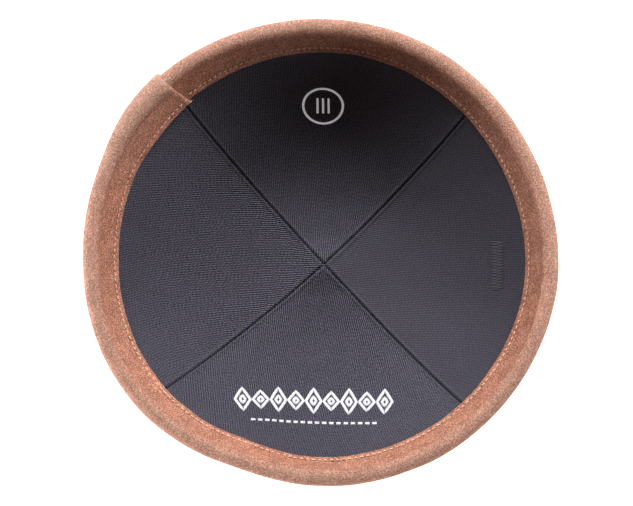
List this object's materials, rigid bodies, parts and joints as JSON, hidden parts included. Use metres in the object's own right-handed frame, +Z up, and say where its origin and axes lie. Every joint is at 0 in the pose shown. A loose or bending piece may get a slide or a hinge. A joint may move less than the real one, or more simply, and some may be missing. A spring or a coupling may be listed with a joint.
{
  "type": "kippah skullcap",
  "caption": "Shallow round cloth skullcap of curved panels with a smooth lining and a broad band folded over its rim, lying on its crown with its inside up.",
  "frame": {"origin": "on the surface that the crown rests on, below the middle of the cap's bounding box", "axes": "+Z up, out of the cap's mouth; +Y towards the back panel and -Y towards the front panel; +X to the right panel"},
  "size_m": [0.1614, 0.1592, 0.0502],
  "materials": {
    "crown_cloth": "matt brushed cloth with a short nap",
    "lining_cloth": "smooth twill with a slight sheen",
    "band_cloth": "matt brushed cloth with a short nap"
  },
  "bodies": {
    "root": {"crown_panel_right": "crown_cloth", "crown_panel_back": "crown_cloth", "crown_panel_left": "crown_cloth", "crown_panel_front": "crown_cloth", "lining_panel_right": "lining_cloth", "lining_panel_back": "lining_cloth", "lining_panel_left": "lining_cloth", "lining_panel_front": "lining_cloth", "rim_band": "band_cloth"}
  },
  "joints": []
}
